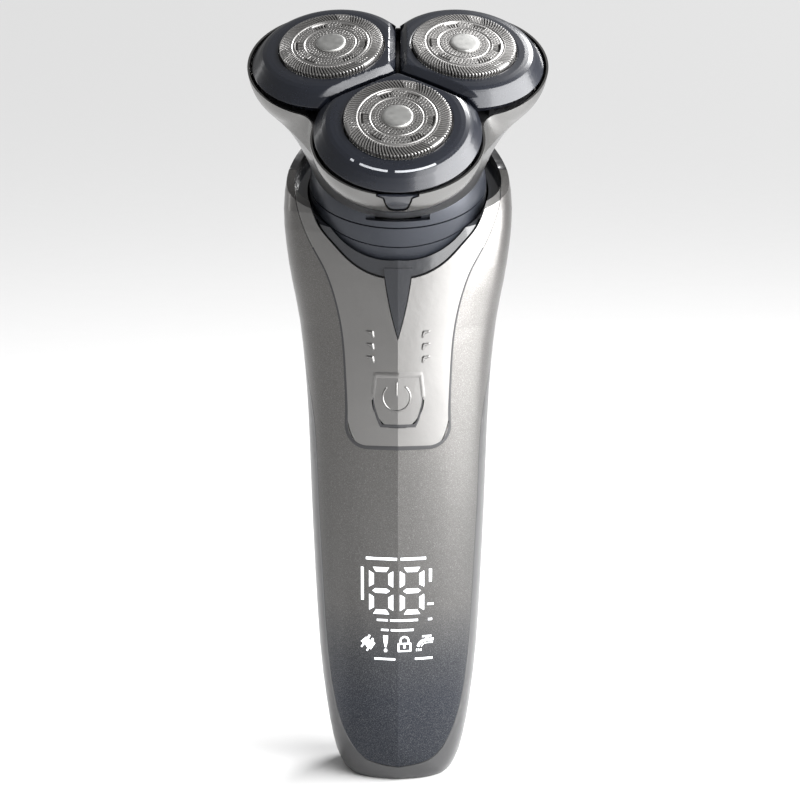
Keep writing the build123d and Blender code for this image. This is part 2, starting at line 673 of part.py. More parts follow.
with BuildPart() as neck_carrier:
    add(head_disc(carrier_radius, plate_base - 1.4, plate_base))
    for side in (-1, 1):
        ends = sorted((side * 11.6, side * 13.6))
        add(head_block(ends, (-2.6, 2.6), (0, plate_base)))
        add(bar_x(2.6, *ends, head.origin))
    add(head_disc(motor_radius + 0.05, -20, plate_base + 1), mode=Mode.SUBTRACT)
    add(bar_x(pivot_radius + 0.05, -15, 15, head.origin), mode=Mode.SUBTRACT)
neck_carrier.part.label = "neck_carrier"
export_step(neck_carrier.part, "parts/neck_carrier.step")

with BuildPart() as motor:
    add(head_disc(motor_radius, -12.4, plate_base - 1.2))
    add(head_disc(4.5, plate_base - 1.2, plate_base))
    add(head_disc(1.05, 4, plate_base + 1), mode=Mode.SUBTRACT)
motor.part.label = "motor"
export_step(motor.part, "parts/motor.step")

with BuildPart() as drive_pinion:
    with BuildSketch(head.offset(gear_base)):
        with Locations(Rotation(0, 0, lobe_angles[0])):
            add(gear_face(drive_teeth))
    extrude(amount=gear_thickness)
    add(head_disc(1.0, 5, gear_base + gear_thickness + 0.3))
drive_pinion.part.label = "drive_pinion"
export_step(drive_pinion.part, "parts/drive_pinion.step")

for number, angle in enumerate(lobe_angles, 1):
    at = Vector(spindle_radius, 0).rotate(Axis.Z, angle)
    with BuildPart() as drive_gear:
        with BuildSketch(head.offset(gear_base)):
            with Locations(Location((at.X, at.Y), angle + 180 / driven_teeth)):
                add(gear_face(driven_teeth))
        extrude(amount=gear_thickness)
        add(head_disc(1.2, plate_base + 0.4, gear_base, at.X, at.Y))
        add(head_disc(1.4, gear_base, 25.4, at.X, at.Y))
        with BuildSketch(head.offset(25.4)):
            with Locations((at.X, at.Y)):
                RegularPolygon(1.35, 6)
        extrude(amount=2.9)
    drive_gear.part.label = f"drive_gear_{number}"
    export_step(drive_gear.part, f"parts/drive_gear_{number}.step")

# Cutter unit

with BuildPart() as head_frame:
    add(trilobe_loft((27.4, 16.25, 17.9, 21.0), (24.5, 16.25, 17.4, 21.63), (21.0, 16.25, 15.5, 22.3)))
    add(trilobe_loft((27.6, 16.25, 17.55, 20.65), (24.5, 16.25, 16.2, 20.5), (20.8, 16.25, 14.3, 21.1)),
        mode=Mode.SUBTRACT)
    with BuildPart(mode=Mode.PRIVATE) as ledge:
        add(trilobe_loft((22.4, 16.25, 15.0, 21.2), (23.2, 16.25, 15.4, 21.2)))
        add(trilobe_loft((22.0, 16.25, 12.6, 18.6), (24.0, 16.25, 12.6, 18.6)), mode=Mode.SUBTRACT)
    add(ledge.part)
    add(bar_x(1.1, -2.8, 2.8, head.from_local_coords((0, *hinge_at))))
    add(head_block((-2.8, 2.8), (21.3, 23.6), (21.1, 21.9)))
    add(bar_x(0.66, -4, 4, head.from_local_coords((0, *hinge_at))), mode=Mode.SUBTRACT)
    add(head_front_prism(0.3, 29, -40, -31.0), mode=Mode.SUBTRACT)
head_frame.part.label = "head_frame"
export_step(head_frame.part, "parts/head_frame.step")

with BuildPart() as hinge_pin:
    add(bar_x(0.6, -6.4, 6.4, head.from_local_coords((0, *hinge_at))))
hinge_pin.part.label = "hinge_pin"
export_step(hinge_pin.part, "parts/hinge_pin.step")

with BuildPart() as release_latch:
    add(trilobe_loft((27.4, 16.25, 17.6, 20.7), (24.5, 16.25, 17.1, 21.3), (21.0, 16.25, 15.2, 22.0)))
    add(head_front_prism(0, 26.9, -40, -31.9), mode=Mode.INTERSECT)
    add(head_block((-5, 5), (-33.1, -30), (25.2, 28)), mode=Mode.SUBTRACT)
release_latch.part.label = "release_latch"
export_step(release_latch.part, "parts/release_latch.step")

trunnion_depth = 7.0
plate_top = 24.4
with BuildPart() as retaining_plate:
    add(trilobe_loft((23.2, 16.25, 15.2, 20.4), (plate_top, 16.25, 15.2, 20.4)))
    add(head_block((-9, 9), (-34, -30.6), (22, 26)), mode=Mode.SUBTRACT)
    add(head_disc(3.0, 22, 26), mode=Mode.SUBTRACT)
    for angle in lobe_angles:
        frame = cutter_frame(angle)
        for side in (-1, 1):
            with BuildPart(frame, mode=Mode.PRIVATE) as post:
                with Locations((0, side * 13.4, -5.6)):
                    Box(3.6, 1.6, 3.6, align=(Align.CENTER, Align.CENTER, Align.MAX))
            add(post.part)
        at = Vector(spindle_radius, 0).rotate(Axis.Z, angle)
        add(head_disc(6.0, 22, 25.2, at.X, at.Y), mode=Mode.SUBTRACT)
        bore_origin = frame.from_local_coords((0, 0, -trunnion_depth))
        bore_plane = Plane(origin=bore_origin, x_dir=frame.x_dir, z_dir=frame.y_dir)
        with BuildPart(bore_plane, mode=Mode.PRIVATE) as bore:
            Cylinder(0.86, 40)
        add(bore.part, mode=Mode.SUBTRACT)
retaining_plate.part.label = "retaining_plate"
export_step(retaining_plate.part, "parts/retaining_plate.step")

with BuildPart() as retaining_lock:
    add(head_disc(5.4, 21.4, 22.8))
    add(head_disc(2.92, 22.8, 24.8))
    add(head_disc(4.2, 24.8, 25.6))
    add(head_block((-4.6, 4.6), (-0.7, 0.7), (20.4, 21.5)))
retaining_lock.part.label = "retaining_lock"
export_step(retaining_lock.part, "parts/retaining_lock.step")

for number, angle in enumerate(lobe_angles, 1):
    frame = cutter_frame(angle)

    with BuildPart() as lobe:
        add(turned(frame, *lobe_profile))
        add(sector(angle, lobe_half_gap), mode=Mode.INTERSECT)
        with BuildPart(mode=Mode.PRIVATE) as hollow:
            add(turned(frame, (0, -2.2), (12.4, -2.2), (14.2, -3.0), (15.0, -4.0), (15.0, -7), (0, -7)))
            add(sector(angle, lobe_half_gap + 1.0), mode=Mode.INTERSECT)
        add(hollow.part, mode=Mode.SUBTRACT)
        hole = cutter_radius + 0.2
        add(turned(frame, (0, 1), (hole, 1), (hole, -3), (0, -3)), mode=Mode.SUBTRACT)
        for side in (-1, 1):
            with BuildPart(frame, mode=Mode.PRIVATE) as lug:
                with Locations((0, side * 15.05, -5.0)):
                    Box(4.0, 0.9, 3.2, align=(Align.CENTER, Align.CENTER, Align.MAX))
            add(lug.part)
            stub_origin = frame.from_local_coords((0, side * 15.05, -trunnion_depth))
            stub_plane = Plane(origin=stub_origin, x_dir=frame.x_dir, z_dir=frame.y_dir * -side)
            with BuildPart(stub_plane, mode=Mode.PRIVATE) as stub:
                Cylinder(0.8, 3.0, align=(Align.CENTER, Align.CENTER, Align.MIN))
            add(stub.part)
        if number == 1:
            with BuildPart(frame, mode=Mode.PRIVATE) as latch_room:
                with Locations((15.6, 0, -5.4)):
                    Box(3.4, 10, 2.2)
            add(latch_room.part, mode=Mode.SUBTRACT)
    lobe.part.label = f"lobe_{number}"
    export_step(lobe.part, f"parts/lobe_{number}.step")

    with BuildPart() as guard:
        add(turned(frame, *guard_profile))
    guard.part.label = f"guard_{number}"
    export_step(guard.part, f"parts/guard_{number}.step")

    with BuildPart() as cap:
        add(turned(frame, (0, 0), (3.15, 0), (3.15, 0.25), (2.95, 0.4), (0, 0.4)))
    cap.part.label = f"guard_cap_{number}"
    export_step(cap.part, f"parts/guard_cap_{number}.step")

    with BuildPart() as blade:
        add(turned(frame, (0, -2.4), (10.1, -2.4), (10.1, -3.1), (3.0, -3.1), (3.0, -7.0), (0, -7.0)))
        with BuildPart(frame, mode=Mode.PRIVATE) as bits:
            for radius, length, count in ((9.2, 1.8, 15), (6.8, 1.8, 12), (4.4, 1.4, 9)):
                with PolarLocations(radius, count):
                    with Locations((0, 0, -0.8)):
                        Box(length, 0.4, 1.8, align=(Align.CENTER, Align.CENTER, Align.MAX))
        add(bits.part)
        with BuildSketch(frame.offset(-7.2)):
            RegularPolygon(2.15, 6)
        extrude(amount=3.6, mode=Mode.SUBTRACT)
    blade.part.label = f"blade_{number}"
    export_step(blade.part, f"parts/blade_{number}.step")
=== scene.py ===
import json
import math
import bpy
import numpy as np
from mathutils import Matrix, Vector


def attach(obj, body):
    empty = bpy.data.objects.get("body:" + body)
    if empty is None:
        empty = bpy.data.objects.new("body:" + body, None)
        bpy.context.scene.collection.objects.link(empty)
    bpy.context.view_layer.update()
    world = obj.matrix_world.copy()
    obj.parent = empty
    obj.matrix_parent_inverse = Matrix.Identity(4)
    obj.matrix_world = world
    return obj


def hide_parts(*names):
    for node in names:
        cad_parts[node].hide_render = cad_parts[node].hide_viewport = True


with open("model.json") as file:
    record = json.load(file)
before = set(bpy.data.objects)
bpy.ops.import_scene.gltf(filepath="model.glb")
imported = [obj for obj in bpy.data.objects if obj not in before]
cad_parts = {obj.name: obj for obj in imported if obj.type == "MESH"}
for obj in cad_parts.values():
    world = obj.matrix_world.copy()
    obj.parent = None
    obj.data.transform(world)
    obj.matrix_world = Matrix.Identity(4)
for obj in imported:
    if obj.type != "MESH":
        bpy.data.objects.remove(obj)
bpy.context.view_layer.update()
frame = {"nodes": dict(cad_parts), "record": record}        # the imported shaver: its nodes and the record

mm = 0.001
nodes = frame["nodes"]
print("frame loaded:", len(nodes), "nodes")


# A Wire is one value inside a material. Python's operators on it add Math nodes.
class Wire:
    def __init__(self, finish, socket):
        self.finish, self.socket = finish, socket

    def maths(self, operation, first, second=None):
        values = {0: first} if second is None else {0: first, 1: second}
        return self.finish.node("ShaderNodeMath", {"operation": operation}, values)

    def __add__(self, other): return self.maths("ADD", self, other)
    def __radd__(self, other): return self.maths("ADD", other, self)
    def __sub__(self, other): return self.maths("SUBTRACT", self, other)
    def __rsub__(self, other): return self.maths("SUBTRACT", other, self)
    def __mul__(self, other): return self.maths("MULTIPLY", self, other)
    def __rmul__(self, other): return self.maths("MULTIPLY", other, self)


# a material under construction: each node's output comes back as a Wire
class Finish:
    def __init__(self, name):
        self.material = bpy.data.materials.new(name)
        self.material.use_nodes = True
        self.tree = self.material.node_tree
        self.tree.nodes.clear()

    # one node: its settings are set first, then each socket takes a value or a Wire
    def node(self, kind, settings=None, sockets=None, output=0):
        made = self.tree.nodes.new(kind)
        for key, value in (settings or {}).items():
            if key == "stops":
                ramp = made.color_ramp.elements
                while len(ramp) < len(value):
                    ramp.new(0.5)
                for element, (place, colour) in zip(ramp, value):
                    element.position, element.color = place, colour
            else:
                setattr(made, key, value)
        for key, value in (sockets or {}).items():
            if isinstance(value, Wire):
                self.tree.links.new(value.socket, made.inputs[key])
            else:
                made.inputs[key].default_value = value
        return Wire(self, made.outputs[output]) if len(made.outputs) else None

    def place(self):
        return self.node("ShaderNodeTexCoord", output="Object")

    # soft random values in the piece's own coordinates
    def noise(self, scale, detail=3.0):
        sockets = {"Vector": self.place(), "Scale": scale, "Detail": detail}
        return self.node("ShaderNodeTexNoise", {}, sockets)

    def ramp(self, factor, stops):
        return self.node("ShaderNodeValToRGB", {"stops": stops}, {"Fac": factor})

    def mix(self, factor, low, high):
        return self.node("ShaderNodeMix", {"data_type": "RGBA"}, {0: factor, 6: low, 7: high}, output=2)

    def bump(self, height, depth):
        return self.node("ShaderNodeBump", {}, {"Height": height, "Distance": depth})

    # a principled surface closes the material
    def surface(self, sockets):
        shader = self.node("ShaderNodeBsdfPrincipled", {}, sockets)
        self.node("ShaderNodeOutputMaterial", {}, {"Surface": shader})
        return self.material


# a colour with each part multiplied, lifted and kept below one
def shade(colour, factor, lift=0.0):
    return tuple(min(1, part * factor + lift) for part in colour[:3]) + (1,)


# two stops that turn a noise into separate bright grains
def grains(start, end):
    return (start, (0, 0, 0, 1)), (end, (1, 1, 1, 1))


# Painted or moulded plastic: the colour drifts by a few hundredths either way, the gloss varies, and a fine orange
# peel bends the light. Flake mixes in brighter grains.
plastic = {"cloudScale": 60, "glossScale": 220, "glossLow": 0.85, "glossSpread": 0.3, "coatRoughness": 0.06,
           "peelScale": 900, "flakeScale": 9000, "flakeStops": (0.45, 0.75), "flakeFactor": 1.9, "flakeLift": 0.05}


def plasticFinish(name, colour, roughness=0.3, coat=0.0, metallic=0.0, drift=0.08, peel=0.00002, flake=0.0):
    finish = Finish(name)
    base = finish.mix(finish.noise(plastic["cloudScale"], 2.0), shade(colour, 1 - drift), shade(colour, 1 + drift))
    if flake:
        sparkle = finish.ramp(finish.noise(plastic["flakeScale"], 1.0), grains(*plastic["flakeStops"]))
        base = finish.mix(sparkle * flake, base, shade(colour, plastic["flakeFactor"], plastic["flakeLift"]))
    gloss = plastic["glossLow"] + plastic["glossSpread"] * finish.noise(plastic["glossScale"])
    return finish.surface({"Base Color": base, "Roughness": roughness * gloss, "Metallic": metallic,
                           "Coat Weight": coat, "Coat Roughness": plastic["coatRoughness"],
                           "Normal": finish.bump(finish.noise(plastic["peelScale"]), peel)})


# Machined or ground steel: fine grain across the surface, with brighter and duller areas.
steel = {"wideScale": 150, "dullest": 0.86, "glossLow": 0.7, "glossSpread": 0.6, "grainDepth": 0.00001}


def steelFinish(name, colour=(0.62, 0.61, 0.6, 1), roughness=0.26, grain=2600):
    finish = Finish(name)
    fine = finish.noise(grain, 2.0)
    base = finish.mix(finish.noise(steel["wideScale"]), shade(colour, steel["dullest"]), colour)
    gloss = steel["glossLow"] + steel["glossSpread"] * fine
    return finish.surface({"Base Color": base, "Roughness": roughness * gloss, "Metallic": 1.0,
                           "Normal": finish.bump(fine, steel["grainDepth"])})


# The front lacquer: metallic, warm and light above, dark blue-grey below, under a clear coat. Heights are in metres,
# and each stop is a share of the way from the low height to the high one.
lacquer = {"low": 0.0, "high": 0.118, "roughness": 0.31, "glossScale": 300, "glossLow": 0.9, "glossSpread": 0.2,
           "metallic": 0.9, "coat": 0.2, "coatRoughness": 0.05, "peelScale": 500, "peelDepth": 0.000006,
           "flakeScale": 7000, "flakeStops": (0.5, 0.72), "flake": 0.12, "flakeColour": (0.7, 0.7, 0.7, 1),
           "stops": ((0.0, (0.016, 0.019, 0.026, 1)), (0.17, (0.019, 0.022, 0.030, 1)),
                     (0.25, (0.034, 0.036, 0.041, 1)), (0.36, (0.082, 0.080, 0.078, 1)),
                     (0.95, (0.108, 0.104, 0.10, 1)))}


def lacquerFinish(name):
    finish = Finish(name)
    height = finish.node("ShaderNodeSeparateXYZ", {}, {"Vector": finish.place()}, output="Z")
    share = (height - lacquer["low"]) * (1 / (lacquer["high"] - lacquer["low"]))
    sparkle = finish.ramp(finish.noise(lacquer["flakeScale"], 1.0), grains(*lacquer["flakeStops"]))
    base = finish.mix(sparkle * lacquer["flake"], finish.ramp(share, lacquer["stops"]), lacquer["flakeColour"])
    gloss = lacquer["glossLow"] + lacquer["glossSpread"] * finish.noise(lacquer["glossScale"], 2.0)
    return finish.surface({"Base Color": base, "Roughness": lacquer["roughness"] * gloss,
                           "Metallic": lacquer["metallic"], "Coat Weight": lacquer["coat"],
                           "Coat Roughness": lacquer["coatRoughness"],
                           "Normal": finish.bump(finish.noise(lacquer["peelScale"], 2.0), lacquer["peelDepth"])})


# lit marks: the surface glows in its own slightly uneven colour
def glowFinish(name, colour, strength):
    finish = Finish(name)
    lit = finish.mix(finish.noise(400, 1.0), shade(colour, 0.9), colour)
    return finish.surface({"Base Color": lit, "Roughness": 0.4, "Emission Color": lit, "Emission Strength": strength})


# one finish for each material slot of the record, with two more for the marks
finishes = {
    "housing": plasticFinish("housing grey", (0.085, 0.085, 0.087, 1), 0.32, coat=0.2, metallic=0.9, flake=0.04),
    "front_lacquer": lacquerFinish("front lacquer"),
    "cover_silver": plasticFinish("cover silver", (0.185, 0.182, 0.178, 1), 0.32, coat=0.15, metallic=0.95, flake=0.04),
    "button": plasticFinish("button silver", (0.185, 0.182, 0.178, 1), 0.32, coat=0.15, metallic=0.95, flake=0.04),
    "collar": plasticFinish("collar black", (0.012, 0.013, 0.016, 1), 0.16, coat=0.6),
    "boot": plasticFinish("boot blue-grey", (0.026, 0.029, 0.037, 1), 0.36, peel=0.000004, metallic=0.45),
    "frame_silver": plasticFinish("frame silver", (0.20, 0.198, 0.194, 1), 0.25, metallic=1.0, drift=0.04),
    "chamber": plasticFinish("chamber grey", (0.08, 0.08, 0.082, 1), 0.32, metallic=0.8, coat=0.3, flake=0.06),
    "lobe": plasticFinish("lobe black", (0.008, 0.0095, 0.0145, 1), 0.28, coat=0.2, drift=0.05, peel=0.000002,
                          metallic=0.1),
    "latch": plasticFinish("latch black", (0.014, 0.016, 0.022, 1), 0.2, coat=0.6),
    "steel": steelFinish("guard steel"),
    "cap": steelFinish("cap satin steel", (0.40, 0.40, 0.39, 1), 0.45, grain=900),
    "pin_steel": steelFinish("pin steel", (0.5, 0.5, 0.5, 1), 0.35),
    "gear": plasticFinish("gear white", (0.75, 0.74, 0.70, 1), 0.4),
    "inner": plasticFinish("inner dark", (0.03, 0.03, 0.033, 1), 0.5, peel=0.00002),
    "board": plasticFinish("board green", (0.02, 0.12, 0.05, 1), 0.4, coat=0.3),
    "cell": plasticFinish("cell sleeve", (0.03, 0.12, 0.3, 1), 0.3, coat=0.4),
    "motor": steelFinish("motor can", (0.5, 0.5, 0.5, 1), 0.35),
    "mark": plasticFinish("printed mark", (0.32, 0.33, 0.35, 1), 0.45),
    # near-black painted shade, laid in strips over the grooves round the cover and the power button
    "groove": plasticFinish("groove shadow", (0.02, 0.02, 0.022, 1), 0.45),
    "contact": steelFinish("contact plating", (0.75, 0.55, 0.25, 1), 0.25),
}
nodeSlots = {entry["node"]: entry["material_slot"] for entry in frame["record"]["subparts"]}


def paint(piece, finish):
    piece.data.materials.clear()
    piece.data.materials.append(finish)


# smooth shading, split along every edge that turns by more than the angle in degrees
def smooth(piece, angle=30):
    flags = np.ones(len(piece.data.polygons), dtype=bool)
    piece.data.polygons.foreach_set("use_smooth", flags)
    edge = piece.modifiers.new("edges", "EDGE_SPLIT")
    edge.split_angle = math.radians(angle)


weldGap = 0.000002       # metres
for name, node in nodes.items():
    paint(node, finishes[nodeSlots[name]])
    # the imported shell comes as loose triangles, which have to be joined before it can shade smoothly
    if name == "rear_housing":
        node.modifiers.new("joined", "WELD").merge_threshold = weldGap
        node.modifiers.new("even", "WEIGHTED_NORMAL").keep_sharp = True
    smooth(node)
print("finishes:", len(finishes))
# The head leans forward: its own axes are x, a rearward and upward axis, and the axis the cutters look along.
head = {"centre": (0, 0, 134.4), "lean": 35, "plane": 33.0, "pitch": 16.25, "dish": 5, "angles": (-90, 30, 150)}
lean = math.radians(head["lean"])
sideways = np.array((1.0, 0, 0))
across = np.array((0, math.cos(lean), math.sin(lean)))
upward = np.array((0, -math.sin(lean), math.cos(lean)))
ball = np.array(head["centre"])


# origin and axes of one cutter: outward from the head's axis, round it, and up from the cutter's face
def cutterAxes(angle):
    turn, tilt = math.radians(angle), math.radians(head["dish"])
    out = math.cos(turn) * sideways + math.sin(turn) * across
    face = upward * math.cos(tilt) + out * math.sin(tilt)
    outward = out * math.cos(tilt) - upward * math.sin(tilt)
    centre = ball + head["pitch"] * out + head["plane"] * upward
    return centre, outward, np.cross(face, outward), face


# places radius, angle and height (arrays) in a cutter's frame, in metres
def around(axes, radius, angle, height):
    centre, outward, beside, face = axes
    return mm * (centre + (radius * np.cos(angle))[..., None] * outward + (radius * np.sin(angle))[..., None] * beside
                 + height[..., None] * face)


# radius, angle and height of every point when a profile of radii and heights is turned round an axis
def turned(radius, height, columns):
    turn = np.linspace(0, 2 * math.pi, columns, endpoint=False)
    r, t = np.meshgrid(radius, turn, indexing="ij")
    return r, t, np.repeat(height[:, None], columns, axis=1)


# one mesh from a grid of points: each square of four neighbours is a face; rows and columns may close on themselves
def gridPiece(name, points, closeRows=False, closeColumns=True, flip=False):
    rows, columns = points.shape[:2]
    index = np.arange(rows * columns).reshape(rows, columns)
    below = np.roll(index, -1, axis=0) if closeRows else index[1:]
    here = index if closeRows else index[:-1]
    if closeColumns:
        quads = np.stack((here, np.roll(here, -1, axis=1), np.roll(below, -1, axis=1), below), axis=-1)
    else:
        quads = np.stack((here[:, :-1], here[:, 1:], below[:, 1:], below[:, :-1]), axis=-1)
    quads = quads.reshape(-1, 4)
    if flip:
        quads = quads[:, ::-1]
    return meshPiece(name, points.reshape(-1, 3), quads)


# a mesh of four-sided faces from points in metres
def meshPiece(name, points, quads):
    mesh = bpy.data.meshes.new(name)
    mesh.vertices.add(len(points))
    mesh.vertices.foreach_set("co", np.asarray(points, dtype=np.float32).ravel())
    mesh.loops.add(quads.size)
    mesh.loops.foreach_set("vertex_index", np.asarray(quads, dtype=np.int32).ravel())
    mesh.polygons.add(len(quads))
    mesh.polygons.foreach_set("loop_start", np.arange(0, quads.size, 4, dtype=np.int32))
    mesh.update(calc_edges=True)
    mesh.validate()
    piece = bpy.data.objects.new(name, mesh)
    bpy.context.scene.collection.objects.link(piece)
    return piece


# soft step from 0 to 1: three times s squared less twice s cubed, with s the share of the way from start to end
def softStep(value, start, end):
    share = np.clip((value - start) / (end - start), 0, 1)
    return share * share * (3 - 2 * share)


# rises to 1 over the first span and falls back to 0 over the second
def between(value, opens, closes):
    return softStep(value, *opens) * (1 - softStep(value, *closes))


# a number for each point, which the material reads by name
def attribute(piece, name, values):
    layer = piece.data.attributes.new(name, "FLOAT", "POINT")
    layer.data.foreach_set("value", np.asarray(values, dtype=np.float32).ravel())


# Cutter guards: slots, comb slots and rows of holes pressed into a turned disc. Lengths are in millimetres; spans
# of a slot, tooth or run are shares of its own step round the circle; rows of holes are radius and count.
guard = {"columns": 1152, "face": ((3.0, 8.6, 50), (8.68, 10.5, 14)),
         "rim": ((10.68, -0.02), (10.86, -0.1), (10.96, -0.22), (11.0, -0.4), (11.0, -0.9), (11.0, -1.25),
                 (11.0, -1.35), (11.0, -2.6), (11.8, -2.65), (11.8, -3.2), (10.5, -3.2), (10.5, -0.75), (3.0, -0.75)),
         "trackEdges": (5.45, 8.1), "grooveDepth": 0.16, "grooveWidth": 0.13,
         "slots": 96, "slotDepth": 0.5, "slotOpens": (0.2, 0.34), "slotCloses": (0.66, 0.8), "slotStart": (0.42, 0.55),
         "skew": 0.05, "inwardRow": 1, "overRimRow": 3, "lastSlotRow": 6,
         "patches": 3, "patchWidth": 0.13, "patchTurn": 0.35, "patchReach": 10.5,
         "patchRows": ((8.75, 88), (9.35, 92), (9.95, 96)), "patchHole": 0.14,
         "combPairs": 3, "combRuns": (0.28, 0.68), "combHalf": 0.1,
         "teeth": 66, "toothOpens": (0.18, 0.3), "toothCloses": (0.7, 0.82), "toothReach": ((5.95, 6.05), (7.35, 7.45)),
         "joinReach": ((7.05, 7.15), (7.5, 7.6)),
         "holeRows": ((3.75, 34), (4.35, 38), (4.95, 44)), "middleRows": ((6.1, 54), (6.75, 58), (7.4, 64)),
         "holeRadius": 0.15, "holeEdge": (0.7, 1.3)}
circle = 2 * math.pi


# rings of round holes: 1 near a hole's centre, falling to 0 across its edge; every second ring is turned half a step
def holeField(radius, angle, rows, size):
    field = np.zeros_like(radius)
    inner, outer = guard["holeEdge"]
    for number, (ring, count) in enumerate(rows):
        step = circle / count
        near = (angle / step + 0.5 * (number % 2)) % 1 - 0.5
        gap = np.hypot(near * step * ring, radius - ring)
        field = np.maximum(field, 1 - softStep(gap, size * inner, size * outer))
    return field


# how open the guard is at each radius and angle: 1 in a slot or hole, 0 on the metal
def guardOpen(radius, angle):
    outer = guard["trackEdges"][1]
    start, full = guard["slotStart"]
    slot = between((angle * guard["slots"] / circle) % 1, guard["slotOpens"], guard["slotCloses"])
    slot = slot * softStep(radius, outer + start, outer + full)
    third = ((angle + guard["patchTurn"]) / (circle / guard["patches"])) % 1
    patch = (np.abs(third - 0.5) < guard["patchWidth"] / 2).astype(float)
    dots = holeField(radius, angle, guard["patchRows"], guard["patchHole"])
    ring = (1 - patch) * slot + patch * dots * (radius < guard["patchReach"])
    # comb groups: short radial slots in two runs, joined along the outer side
    along = (angle / (circle / guard["combPairs"])) % 1
    run = np.maximum(*(np.abs(along - middle) < guard["combHalf"] for middle in guard["combRuns"])).astype(float)
    teeth = between((angle * guard["teeth"] / circle) % 1, guard["toothOpens"], guard["toothCloses"])
    teeth = teeth * between(radius, *guard["toothReach"])
    comb = run * np.maximum(teeth, between(radius, *guard["joinReach"]))
    middle = (1 - run) * holeField(radius, angle, guard["middleRows"], guard["holeRadius"])
    centre = holeField(radius, angle, guard["holeRows"], guard["holeRadius"])
    return np.clip(ring + comb + middle + centre, 0, 1)


# a turned disc and rim; two fine grooves part its tracks, and it is pressed in wherever it is open
def guardPiece(number, angle):
    face = np.concatenate([np.linspace(*span) for span in guard["face"]])
    rim = np.array(guard["rim"])
    radius = np.concatenate((face, rim[:, 0]))
    height = np.concatenate((np.zeros(len(face)), rim[:, 1]))
    dip = np.maximum(*(np.exp(-((radius - edge) / guard["grooveWidth"]) ** 2) for edge in guard["trackEdges"]))
    rows = np.arange(len(radius))
    height = height - guard["grooveDepth"] * dip * (rows < len(face))
    r, t, z = turned(radius, height, guard["columns"])
    outer = guard["trackEdges"][1]
    skewed = t + guard["skew"] * (r - outer) * (r > outer)
    # slots run over the rounded rim and stop part way down its side; nothing opens below that or underneath
    rows = rows[:, None] - len(face)
    opened = guardOpen(r, t) * (rows < guard["lastSlotRow"])
    depth = guard["slotDepth"] * opened
    z = z - depth * (rows < guard["overRimRow"])
    r = r - depth * (rows >= guard["inwardRow"])
    piece = gridPiece(f"guard_{number}_cut", around(cutterAxes(angle), r, skewed, z), flip=True)
    # the mask of slots and holes, where the material paints shade
    attribute(piece, "open", opened)
    paint(piece, guardFinish)
    smooth(piece, 40)
    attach(piece, f"guard_{number}")
    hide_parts(f"guard_{number}")


# the cap in each guard's middle: radius and height along its profile, in millimetres
cap = {"profile": ((0.0, 0.44), (1.2, 0.44), (2.3, 0.42), (2.75, 0.4), (2.95, 0.36), (3.08, 0.28), (3.15, 0.16),
                   (3.15, -0.1), (3.15, -0.3), (0.0, -0.3)), "columns": 96}


def capPiece(number, angle):
    outline = np.array(cap["profile"])
    points = around(cutterAxes(angle), *turned(outline[:, 0], outline[:, 1], cap["columns"]))
    piece = gridPiece(f"guard_cap_{number}_turned", points, flip=True)
    paint(piece, finishes["cap"])
    smooth(piece, 40)
    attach(piece, f"guard_{number}")
    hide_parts(f"guard_cap_{number}")


# A lobe is a turned shoulder cut off straight where two lobes meet, with a bevel along the cut. Millimetres; the
# cuts face the two other cutters, at cutAngle degrees either way from straight out.
lobe = {"profile": ((11.2, -2.4), (11.2, -1.25), (11.32, -1.06), (11.6, -1.0), (12.8, -1.0), (13.8, -1.12),
                    (14.6, -1.4), (15.1, -1.75), (15.4, -2.0), (15.8, -2.45), (16.3, -3.0), (16.8, -3.6), (17.12, -4.0),
                    (17.2, -4.15), (17.1, -4.3), (16.6, -4.5), (15.7, -6.1), (15.1, -6.1), (15.2, -4.4), (14.4, -3.6),
                    (12.4, -2.6)),
        "shoulder": slice(3, 14), "stations": 90, "columns": 288, "gap": 0.7, "cutAngle": 150, "leastFacing": 0.2,
        "uncut": 99, "bevel": 1.3, "bevelSlope": 0.9, "bevelAbove": -2.5, "boreRadius": 11.21}


def lobePiece(number, angle):
    outline = np.array(lobe["profile"])
    # finer stations along the profile by straight interpolation between its corners
    walked = np.concatenate(((0,), np.cumsum(np.hypot(*np.diff(outline, axis=0).T))))
    places = np.unique(np.concatenate((walked, np.linspace(0, walked[-1], lobe["stations"]))))
    radius, height = (np.interp(places, walked, outline[:, k]) for k in (0, 1))
    r, t, z = turned(radius, height, lobe["columns"])
    # distance from the cutter's axis to the cut on either side, along each direction
    reach = head["pitch"] * math.sin(math.radians(60)) - lobe["gap"]
    cutTurn, least = math.radians(lobe["cutAngle"]), lobe["leastFacing"]
    facing = np.maximum(np.cos(t - cutTurn), np.cos(t + cutTurn))
    limit = np.where(facing > least, reach / np.maximum(facing, least), lobe["uncut"])
    # the bevel falls with the distance past its own start, on the top side only
    past = np.clip(np.minimum(r, limit) - (limit - lobe["bevel"]), 0, lobe["bevel"])
    z = z - past * lobe["bevelSlope"] * (z > lobe["bevelAbove"]) * (r > lobe["boreRadius"])
    points = around(cutterAxes(angle), np.minimum(r, limit), t, z)
    piece = gridPiece(f"lobe_{number}_turned", points, closeRows=True, flip=True)
    paint(piece, finishes["lobe"])
    smooth(piece, 24)
    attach(piece, f"lobe_{number}")
    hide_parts(f"lobe_{number}")


# the guards' steel: darker, duller and less metallic wherever the mesh says that it is open; the near-black there is
# painted shade for the shaded inside of the head that shows through the slots and holes
slotted = {"metal": ((0.27, 0.265, 0.26, 1), (0.38, 0.372, 0.364, 1)), "open": (0.015, 0.014, 0.013, 1),
           "metalScale": 180, "roughness": 0.3, "grain": 0.14, "grainScale": 2600, "openRoughness": 0.3,
           "openDulling": 0.7, "bumpScale": 3000, "bumpDepth": 0.00001}


